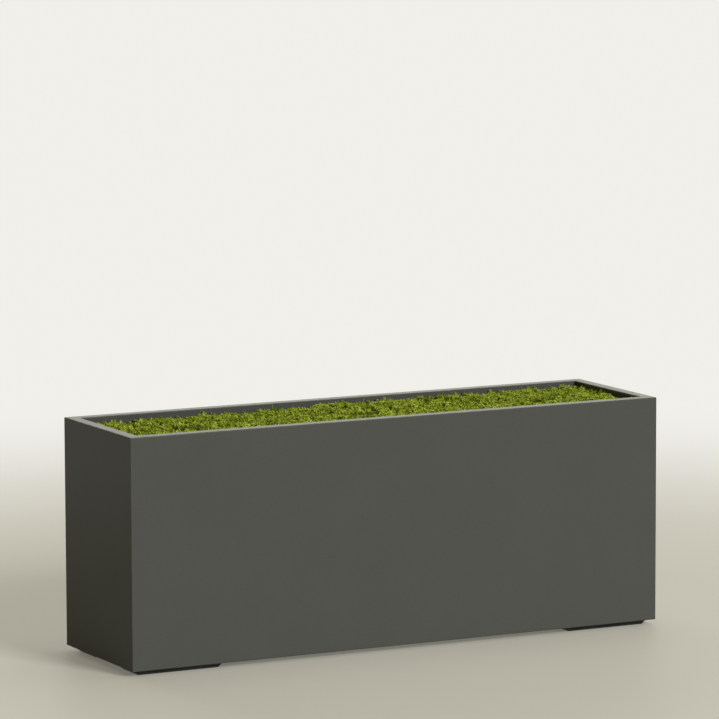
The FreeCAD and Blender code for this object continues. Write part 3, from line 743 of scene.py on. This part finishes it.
@dataclass
class Leafwork:
    """Makes small closed leaves and joins them into sprigs.

    A leaf is a keeled blade of four triangles: a root, two corners at its widest and a tip, with the
    corners lifted off the line from root to tip. Leans are in degrees from upright. Along a feather the
    lowest pair of leaflets stands at lowest_pair, and the pairs take up pairs_run.
    """

    seed: int = 7
    widest: float = 0.45
    keel: float = 0.3
    star_leaves: int = 7
    inner_lean: tuple[float, float] = (8.0, 28.0)
    outer_lean: tuple[float, float] = (38.0, 80.0)
    feather_pairs: int = 4
    lowest_pair: float = 0.22
    pairs_run: float = 0.68
    feather_lean: tuple[float, float] = (30.0, 66.0)
    wisp_lean: tuple[float, float] = (5.0, 42.0)

    def __post_init__(self) -> None:
        """Start the random numbers of the sprigs' forms."""
        self.random = np.random.default_rng(self.seed)

    def leaf(self, root: Array, way: Array, length: float, width: float, droop: float = 0.0) -> Sprig:
        """Make one leaf.

        Args:
            root: Where the leaf starts.
            way: Its unit direction.
            length: Its length.
            width: Its greatest width.
            droop: How far its tip sinks, as a share of its length.

        Returns:
            The leaf.
        """
        nearly_up = np.array([0.05, 0.03, 1.0])
        side = np.cross(way, nearly_up)
        side = side / max(np.linalg.norm(side), 0.001)
        middle = root + way * length * self.widest + np.cross(side, way) * width * self.keel
        tip = root + way * length - np.array([0.0, 0.0, droop * length])
        points = np.array([root, middle + side * width / 2, middle - side * width / 2, tip])
        faces = np.array([[0, 1, 2], [3, 2, 1], [0, 3, 1], [0, 2, 3]])
        return Sprig(points, faces, np.array([0.0, 0.55, 0.55, 1.0]))

    def star(self) -> Sprig:
        """Make a star of pointed leaves in two tiers that open upwards.

        Returns:
            The sprig.
        """
        made = []
        for index in range(self.star_leaves):
            turn = 2 * math.pi * (index + 0.7 * self.random.random()) / self.star_leaves
            lean = math.radians(self.random.uniform(*(self.inner_lean if index % 3 == 0 else self.outer_lean)))
            way = np.array([math.sin(lean) * math.cos(turn), math.sin(lean) * math.sin(turn), math.cos(lean)])
            length = self.random.uniform(0.7, 1.05)
            droop = self.random.uniform(-0.05, 0.2)
            made.append(self.leaf(np.zeros(3), way, length, width=0.50, droop=droop))
        return Sprig.joined(made)

    def stalk_way(self, lean: tuple[float, float]) -> Array:
        """Draw the direction of a stalk that leans towards X, between two angles."""
        angle = math.radians(self.random.uniform(*lean))
        return np.array([math.sin(angle), 0.0, math.cos(angle)])

    def feather(self) -> Sprig:
        """Make a feathery shoot: a leaning stalk with pairs of leaflets, each smaller than the one below.

        Returns:
            The sprig.
        """
        way = self.stalk_way(self.feather_lean)
        made = [self.leaf(np.zeros(3), way, length=1.0, width=0.10, droop=0.12)]
        for index in range(self.feather_pairs):
            along = self.lowest_pair + self.pairs_run * index / self.feather_pairs
            for side in (-1.0, 1.0):
                out = unit(np.array([way[0] * 0.7, side, way[2] * 0.4 + self.random.uniform(-0.2, 0.25)]))
                size = 0.44 * (1.0 - 0.5 * along) * self.random.uniform(0.8, 1.2)
                blade = self.leaf(way * along, out, size, width=0.17, droop=0.1)
                made.append(Sprig(blade.points, blade.faces, 0.3 + 0.7 * blade.tips))
        return Sprig.joined(made)

    def wisp(self) -> Sprig:
        """Make a thin stalk with a seed capsule that stands above the rest.

        Returns:
            The sprig.
        """
        way = self.stalk_way(self.wisp_lean)
        stalk = self.leaf(np.zeros(3), way, length=1.0, width=0.035)
        capsule = self.leaf(0.96 * way, way, length=0.18, width=0.07, droop=0.2)
        barb = self.leaf(0.5 * way, unit(np.array([way[0], 0.6, way[2]])), length=0.2, width=0.04)
        return Sprig.joined([stalk, Sprig(capsule.points, capsule.faces, np.ones(4)), barb])


@dataclass(frozen=True)
class Sowing:
    """How one kind of sprig is sown: how many places are tried, the share of them that takes between the
    lumps, the least and greatest size, and how far a sprig may stray from the surface's normal."""

    tries: int
    between: float
    size: tuple[float, float]
    stray: float


STARS = Sowing(tries=8200, between=0.1, size=(3.6 * MM, 6.0 * MM), stray=0.2)
FEATHERS = Sowing(tries=4200, between=0.2, size=(4.5 * MM, 7.5 * MM), stray=0.3)
WISPS = Sowing(tries=110, between=0.5, size=(9.0 * MM, 21.0 * MM), stray=0.3)


@dataclass
class Planting:
    """Where sprigs stand: their roots, the directions they grow in, their sizes and the lumps below."""

    roots: Array
    upright: Array
    size: Array
    dome: Array
    tint: Array

    def with_more(self, other: Planting) -> Planting:
        """Join another planting to this one."""
        return Planting(*(np.concatenate(pair) for pair in zip(vars(self).values(), vars(other).values())))


def added(name: str, data: bpy.types.ID) -> bpy.types.Object:
    """Put a mesh, a lamp or a camera into the scene.

    Args:
        name: The new object's name.
        data: What it shows.

    Returns:
        The object, which sits at the origin.
    """
    piece = bpy.data.objects.new(name, data)
    bpy.context.scene.collection.objects.link(piece)
    return piece


@dataclass
class MossHalf:
    """One half of the moss cover: a rolling mat with half-round notches, and sprigs all over it."""

    half: Half
    palette: Palette
    low: Vector
    high: Vector
    corner: float = 7 * MM
    joint_gap: float = 0.5 * MM
    hole_pitch: float = 340 * MM
    hole_radius: float = 30 * MM
    overhang: float = 7 * MM
    wall_room: float = 2.5 * MM
    edge_fall: float = 2.5 * MM
    edge_reach: float = 5 * MM
    edge_pitch: float = 4.0 * MM
    edge_size: tuple[float, float] = (6.0 * MM, 10.0 * MM)
    edge_inward: tuple[float, float] = (0.5 * MM, 5.0 * MM)
    edge_rise: tuple[float, float] = (0.3, 1.3)
    edge_scatter: float = 0.8 * MM
    edge_stray: float = 0.25
    mat_sink: float = 6.5 * MM
    mat_least: float = 1.5 * MM
    root_depth: float = 0.7 * MM
    dried_share: float = 0.02
    columns: int = 560
    rows: int = 74
    forms: int = 9
    wisp_forms: int = 5
    seed: int = 40

    def __post_init__(self) -> None:
        """Work out the outline from the node's box and lay the ground that both halves share."""
        self.end = self.high.x
        self.side = max(abs(self.low.y), abs(self.high.y))
        self.holes = (-self.hole_pitch, 0.0, self.hole_pitch)
        self.ground = MossGround(level=self.high.z - self.mat_sink)
        self.random = np.random.default_rng(self.seed + self.half.value)

    def outer_edge(self, x: Array) -> Array:
        """Give how far out the half reaches at a place along it, with its round corners."""
        past = np.clip(np.abs(x) - (self.end - self.corner), 0.0, self.corner)
        return self.side - self.corner + np.sqrt(np.clip(self.corner ** 2 - past ** 2, 0.0, None))

    def joint_edge(self, x: Array) -> Array:
        """Give where the half starts at a place along it: at the joint, or at the rim of a hole."""
        nearest = np.min([np.abs(x - middle) for middle in self.holes], axis=0)
        return np.maximum(np.sqrt(np.clip(self.hole_radius ** 2 - nearest ** 2, 0.0, None)), self.joint_gap)

    def surface(self, x: Array, y: Array) -> Array:
        """Work out the mat's height: the ground's, less a quarter round towards its walls and holes.

        The drop is one less the root of one less the square of how deep a place lies in the rounded edge.

        Args:
            x: Places along the planter.
            y: Places across the planter.

        Returns:
            The height at each place.
        """
        to_hole = np.min([np.hypot(x - middle, y) for middle in self.holes], axis=0) - self.hole_radius
        to_wall = np.minimum(self.outer_edge(x) - np.abs(y), self.end - np.abs(x))
        deep = 1.0 - np.clip(np.minimum(to_wall, to_hole) / self.edge_reach, 0.0, 1.0)
        fall = 1.0 - np.sqrt(np.clip(1.0 - deep ** 2, 0.0, 1.0))
        return np.maximum(self.ground.height(x, y) - self.edge_fall * fall, self.low.z + self.mat_least)

    def mat(self) -> bpy.types.Object:
        """Make the mat: its surface over the outline, sides straight down and a flat underside.

        A point of the surface lies a share of the way from the joint edge to the outer edge at its
        place along the half. Extra columns stand where a hole's edge runs steeply into the joint.

        Returns:
            The mat's object.
        """
        steep = self.hole_radius * np.array([1.0, 0.999, 0.995, 0.985, 0.97])
        notches = [middle + side * steep for middle in self.holes for side in (-1, 1)]
        x = np.unique(np.round(np.concatenate([np.linspace(-self.end, self.end, self.columns), *notches]), 6))
        share = np.linspace(0.0, 1.0, self.rows)
        inner, outer = self.joint_edge(x), self.outer_edge(x)
        plan_x = np.repeat(x[:, None], self.rows, axis=1)
        plan_y = self.half.value * (inner[:, None] + share[None, :] * (outer - inner)[:, None])
        surface = np.stack([plan_x, plan_y, self.surface(plan_x, plan_y)], axis=-1).reshape(-1, 3)
        under = np.stack([np.concatenate([x, x]), self.half.value * np.concatenate([inner, outer]),
                          np.full(2 * len(x), self.low.z)], axis=-1)
        points = np.concatenate([surface, under])
        dome, tint = self.ground.lumps(points[:, 0], points[:, 1])
        above = np.arange(len(points)) < len(surface)
        # Painted shade: the mat's top takes the root colour in the gaps, and its sides and underside are kept
        # darker still.
        kept = {"leaf_tip": np.where(above, 0.24, 0.08), "sprig_tint": 0.2 + 0.4 * tint,
                "clump_rise": np.where(above, 0.7 * dome, 0.1)}
        piece = self._piece("mat", points, self._mat_faces(len(x), self.rows), kept)
        piece.data.polygons.foreach_set("use_smooth", np.ones(len(piece.data.polygons), bool))
        return piece

    def _mat_faces(self, columns: int, rows: int) -> list[tuple[int, ...]]:
        """List the mat's faces: the surface's squares, both long sides, the underside and the ends.

        Args:
            columns: How many points the grid has along the half.
            rows: How many it has across.

        Returns:
            The corners of each face, so turned that it looks outwards.
        """
        corner = np.arange(columns * rows).reshape(columns, rows)
        inner_low = columns * rows + np.arange(columns)
        outer_low = inner_low + columns
        sheets = [(corner[:-1, :-1], corner[1:, :-1], corner[1:, 1:], corner[:-1, 1:]),
                  (corner[1:, 0], corner[:-1, 0], inner_low[:-1], inner_low[1:]),
                  (corner[:-1, -1], corner[1:, -1], outer_low[1:], outer_low[:-1]),
                  (inner_low[:-1], outer_low[:-1], outer_low[1:], inner_low[1:])]
        faces = [tuple(face) for sheet in sheets for face in np.stack(sheet, axis=-1).reshape(-1, 4).tolist()]
        faces.append((*corner[0].tolist(), int(outer_low[0]), int(inner_low[0])))
        faces.append((*corner[-1, ::-1].tolist(), int(inner_low[-1]), int(outer_low[-1])))
        return faces if self.half is Half.REAR else [face[::-1] for face in faces]

    def _rooted(self, x: Array, y: Array) -> Array:
        """Give the places of roots that sit a little way into the mat."""
        return np.column_stack([x, y, self.surface(x, y) - self.root_depth])

    def over_surface(self, sowing: Sowing) -> Planting:
        """Plant the whole surface, thickly on the lumps and thinly between them.

        Args:
            sowing: How the sprigs are sown.

        Returns:
            The planting.
        """
        pitch = math.sqrt(2 * self.end * self.side / sowing.tries)
        x, y = (part.ravel() for part in np.meshgrid(
            np.arange(-self.end, self.end, pitch), np.arange(0.0, self.side, pitch), indexing="ij"))
        x = x + self.random.uniform(0.0, pitch, x.shape)
        y = y + self.random.uniform(0.0, pitch, y.shape)
        dome, tint = self.ground.lumps(x, self.half.value * y)
        wanted = self.random.random(x.shape) < sowing.between + (1.0 - sowing.between) * dome
        inside = (np.abs(x) < self.end - MM) & (y < self.outer_edge(x) - MM) & (y > self.joint_edge(x) - 0.5 * MM)
        keep = wanted & inside
        x, y, dome, tint = x[keep], self.half.value * y[keep], dome[keep], tint[keep]
        grows = unit(self.ground.normals(x, y) + self.random.normal(0.0, sowing.stray, (len(x), 3)))
        size = self.random.uniform(*sowing.size, len(x)) * (0.6 + 0.4 * dome)
        return Planting(self._rooted(x, y), grows, size, dome, tint)

    def _edge_points(self) -> Array:
        """Walk along the half's wall sides and holes.

        Returns:
            A row for each point: its place along and out from the joint, and the way out of the moss there.
        """
        run = np.arange(-self.end + self.corner, self.end - self.corner, self.edge_pitch)
        rise = np.arange(2 * MM, self.side - self.corner, self.edge_pitch)
        turn = np.arange(0.05, math.pi - 0.05, self.edge_pitch / self.hole_radius)
        along, over = np.cos(turn), np.sin(turn)
        wall = np.stack([run, np.full_like(run, self.side), np.zeros_like(run), np.ones_like(run)], axis=1)
        ends = [np.stack([np.full_like(rise, side * self.end), rise,
                          np.full_like(rise, side), np.zeros_like(rise)], axis=1) for side in (-1.0, 1.0)]
        rims = [np.stack([middle + self.hole_radius * along, self.hole_radius * over, -along, -over], axis=1)
                for middle in self.holes]
        return np.concatenate([wall, wall, *ends, *ends, *rims, *rims])

    def along_edges(self) -> Planting:
        """Plant the rounded edges, so that leaves reach over to the walls and into the holes.

        Returns:
            The planting.
        """
        edge = self._edge_points()
        inward = self.random.uniform(*self.edge_inward, (len(edge), 1))
        place = edge[:, :2] - edge[:, 2:] * inward + self.random.normal(0.0, self.edge_scatter, (len(edge), 2))
        x = np.clip(place[:, 0], -self.end + MM, self.end - MM)
        y = np.clip(place[:, 1], self.joint_gap, self.side - MM) * self.half.value
        rise = self.random.uniform(*self.edge_rise, len(edge))
        out = np.column_stack([edge[:, 2], edge[:, 3] * self.half.value, rise])
        grows = unit(out + self.random.normal(0.0, self.edge_stray, out.shape))
        dome, tint = self.ground.lumps(x, y)
        # The lump height given here sets how much painted shade the edge sprigs take.
        return Planting(self._rooted(x, y), grows, self.random.uniform(*self.edge_size, len(x)),
                        0.35 + 0.4 * dome, tint)

    def grow(self, kind: str, forms: list[Sprig], planting: Planting) -> bpy.types.Object:
        """Stand sprigs at their places, each turned at random about the direction it grows in.

        Args:
            kind: The kind of sprig, for the piece's name.
            forms: The sprigs' forms, taken in turn, all with the same number of leaves.
            planting: Where the sprigs stand.

        Returns:
            The piece's object.
        """
        number, corners = len(planting.roots), len(forms[0].points)
        turn = self.random.uniform(0.0, 2 * math.pi, number)
        ahead = np.stack([np.cos(turn), np.sin(turn), 0.3 * np.sin(3 * turn)], axis=1)
        ahead = unit(ahead - planting.upright * np.sum(ahead * planting.upright, axis=1, keepdims=True))
        aside = np.cross(planting.upright, ahead)
        sprig_tint = np.clip(0.6 * planting.tint + 0.4 * self.random.random(number), 0.0, 1.0) * 0.9
        sprig_tint = np.where(self.random.random(number) < self.dried_share, 1.0, sprig_tint)
        mine = np.arange(number) % len(forms)
        basis = np.stack([ahead, aside, planting.upright], axis=1)
        points = np.einsum("spk,skj->spj", np.stack([form.points for form in forms])[mine], basis)
        points = points * planting.size[:, None, None] + planting.roots[:, None, :]
        faces = forms[0].faces + corners * np.arange(number)[:, None, None]
        # clump_rise carries the lump height that the moss finish turns into painted shade.
        kept = {"leaf_tip": np.stack([form.tips for form in forms])[mine].ravel(),
                "sprig_tint": np.repeat(sprig_tint, corners), "clump_rise": np.repeat(planting.dome, corners)}
        return self._piece(kind, self._held_in(points.reshape(-1, 3)), faces.reshape(-1, 3).tolist(), kept)

    def _held_in(self, points: Array) -> Array:
        """Press leaves back from the planter's walls and from the middle of the holes.

        Args:
            points: The leaves' points.

        Returns:
            The points, each no further out than the walls and no nearer to a hole's middle than the
            overhang allows.
        """
        furthest = np.array([self.end, self.side]) + self.wall_room
        points[:, :2] = np.clip(points[:, :2], -furthest, furthest)
        points[:, 2] = np.maximum(points[:, 2], self.low.z + 0.5 * MM)
        for middle in self.holes:
            away = points[:, :2] - (middle, 0.0)
            distance = np.maximum(np.hypot(*away.T), 1e-6)[:, None]
            points[:, :2] = (middle, 0.0) + away * np.maximum((self.hole_radius - self.overhang) / distance, 1.0)
        return points

    def _piece(self, kind: str, points: Array, faces: list, kept: dict[str, Array]) -> bpy.types.Object:
        """Make an object from points and faces and keep numbers on its points.

        Args:
            kind: What the object is made of, for its name.
            points: The mesh's points.
            faces: Its faces, as lists of point numbers.
            kept: Numbers for each point, by name.

        Returns:
            The object, in the moss finish and riding on its half of the cover.
        """
        name = "moss_" + kind + "_" + self.half.word
        mesh = bpy.data.meshes.new(name)
        mesh.from_pydata(points.tolist(), [], faces)
        for word, numbers in kept.items():
            mesh.attributes.new(word, "FLOAT", "POINT").data.foreach_set("value", numbers.astype(np.float32))
        mesh.materials.append(self.palette.get(MOSS))
        mesh.update()
        piece = added(name, mesh)
        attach(piece, self.half.word + "_cover")
        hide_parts("moss_" + self.half.word)
        LOG.info("%s: %d faces", name, len(mesh.polygons))
        return piece

    def build(self) -> None:
        """Build the half's mat and grow its sprigs."""
        leafwork = Leafwork()
        self.mat()
        self.grow("stars", [leafwork.star() for _ in range(self.forms)], self.over_surface(STARS))
        feathers = self.over_surface(FEATHERS).with_more(self.along_edges())
        self.grow("feathers", [leafwork.feather() for _ in range(self.forms)], feathers)
        self.grow("wisps", [leafwork.wisp() for _ in range(self.wisp_forms)], self.over_surface(WISPS))


@dataclass(frozen=True)
class Lamp:
    """A square soft lamp: its name, where it hangs, its side, its power in watts and its colour."""

    name: str
    place: Point
    side: float
    power: float
    colour: Colour


@dataclass
class Studio:
    """A pale round floor that fades to white, soft lamps and the camera.

    The camera was found by fitting the photograph's view to the body's corners: where it stands, how
    it turns and leans, and how many pixels a unit of slope takes up. The key lamp stands before the
    planter and the top lamp above it. The back lamp is weak and low, so it lights the rear and hardly
    reaches into the shadow on the floor.
    """

    camera_place: Point = (-3.7186, -7.2285, 1.5661)
    yaw: float = -27.168
    pitch: float = -7.597
    roll: float = -0.190
    pixels_per_slope: float = 4805.1
    picture_width: int = 719
    sensor: float = 36.0
    floor_radius: float = 4.0
    floor_sides: int = 160
    fade_start: float = 0.6
    fade_end: float = 2.9
    floor_colour: Colour = (0.60, 0.58, 0.50)
    backdrop_colour: Colour = (0.875, 0.865, 0.82)
    floor_glow: float = 0.25
    ambient: float = 0.13
    ambient_colour: Colour = (1.0, 0.86, 0.44)
    lamps: tuple[Lamp, ...] = (
        Lamp("key", (2.9, -10.4, 5.2), side=3.6, power=1310.0, colour=(0.975, 0.99, 1.0)),
        Lamp("top", (1.2, 0.4, 4.4), side=3.0, power=47.0, colour=(1.0, 0.99, 0.97)),
        Lamp("back", (-0.6, 8.0, 2.0), side=2.2, power=190.0, colour=(1.0, 0.95, 0.82)),
    )
    lamp_aim: Point = (0.0, 0.0, 0.2)

    def set_camera(self) -> None:
        """Place the camera that the scene renders from."""
        data = bpy.data.cameras.new("camera")
        data.sensor_fit = "HORIZONTAL"
        data.sensor_width = self.sensor
        data.lens = self.pixels_per_slope / self.picture_width * self.sensor
        data.clip_end = 100.0
        camera = added("camera", data)
        turned = (Matrix.Rotation(math.radians(self.yaw), 4, "Z")
                  @ Matrix.Rotation(math.radians(90.0 + self.pitch), 4, "X")
                  @ Matrix.Rotation(math.radians(self.roll), 4, "Z"))
        camera.matrix_world = Matrix.Translation(self.camera_place) @ turned
        bpy.context.scene.camera = camera

    def _seen(self, wiring: Wiring) -> Socket:
        """Tell whether a ray comes from the camera, a mirror or glass."""
        path = wiring.node("ShaderNodeLightPath").outputs
        return wiring.math("MAXIMUM", wiring.math("MAXIMUM", path["Is Camera Ray"], path["Is Glossy Ray"]),
                           path["Is Transmission Ray"])

    def _floor_finish(self) -> bpy.types.Material:
        """Make the floor's material. It glows a little where it is seen, and far out it is all glow.

        Returns:
            The material.
        """
        material = bpy.data.materials.new("floor_pale")
        material.use_nodes = True
        wiring = Wiring(material.node_tree)
        output = wiring.node("ShaderNodeOutputMaterial")
        place = wiring.node("ShaderNodeTexCoord").outputs["Object"]
        away = wiring.node("ShaderNodeVectorMath", place, settings={"operation": "LENGTH"})
        far = wiring.band(away.outputs["Value"], self.fade_start, self.fade_end)
        cloud = wiring.noise(place, 1.3, detail=3.0, rough=0.5)
        pale = wiring.blend(cloud, *(tuple(share * part for part in self.floor_colour) for share in (0.97, 1.03)))
        shader = wiring.node("ShaderNodeBsdfPrincipled", Roughness=0.5,
                             Base_Color=wiring.blend(far, pale, self.backdrop_colour))
        glow = wiring.node("ShaderNodeEmission", Color=wiring.blend(far, self.floor_colour, self.backdrop_colour))
        share = wiring.times(self._seen(wiring), wiring.band(far, 0.0, 1.0, start=self.floor_glow))
        wiring.fill(output, Surface=wiring.mixed(share, shader.outputs["BSDF"], glow.outputs["Emission"]))
        return material

    def lay_floor(self) -> None:
        """Lay the round floor. Its colour fades to the backdrop's towards its edge, and it keeps the shadows."""
        turns = np.linspace(0.0, 2 * math.pi, self.floor_sides, endpoint=False)
        points = np.stack([np.cos(turns), np.sin(turns), np.zeros_like(turns)], axis=-1) * self.floor_radius
        mesh = bpy.data.meshes.new("floor")
        mesh.from_pydata(points.tolist(), [], [tuple(range(self.floor_sides))])
        mesh.materials.append(self._floor_finish())
        floor = added("floor", mesh)

    def set_world(self) -> None:
        """Light all round at a plain level, and show a near white backdrop to the camera and to gloss."""
        world = bpy.data.worlds.new("studio")
        bpy.context.scene.world = world
        world.use_nodes = True
        wiring = Wiring(world.node_tree)
        output = wiring.node("ShaderNodeOutputWorld")
        soft, backdrop = (
            wiring.node("ShaderNodeBackground", Color=(*colour, 1.0), Strength=strength).outputs["Background"]
            for colour, strength in ((self.ambient_colour, self.ambient), (self.backdrop_colour, 1.0)))
        wiring.fill(output, Surface=wiring.mixed(self._seen(wiring), soft, backdrop))

    def hang_lamp(self, lamp: Lamp) -> None:
        """Hang one lamp and turn it to the middle of the planter.

        Args:
            lamp: The lamp to hang.
        """
        data = bpy.data.lights.new(lamp.name, "AREA")
        data.shape = "SQUARE"
        data.size = lamp.side
        data.energy = lamp.power
        data.color = lamp.colour
        aim = Vector(self.lamp_aim) - Vector(lamp.place)
        turned = aim.to_track_quat("-Z", "Y").to_matrix().to_4x4()
        added(lamp.name, data).matrix_world = Matrix.Translation(lamp.place) @ turned

    def build(self) -> None:
        """Set up the camera, the floor, the world and the lamps."""
        self.set_camera()
        self.lay_floor()
        self.set_world()
        for lamp in self.lamps:
            self.hang_lamp(lamp)
        bpy.context.scene.view_settings.view_transform = "Standard"


def main() -> None:
    """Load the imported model, dress it and set up the studio."""
    logging.basicConfig(level=logging.INFO, format="%(name)s: %(message)s")
    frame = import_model()
    Studio().build()
    palette = Palette()
    for kind in (FoldedBody, Footing, LiftOutLiner, CoverBoards):
        kind(palette).dress(frame["nodes"])
    for half in Half:
        low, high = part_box("moss_" + half.word)
        MossHalf(half, palette, low, high).build()


if __name__ == "__main__":
    main()
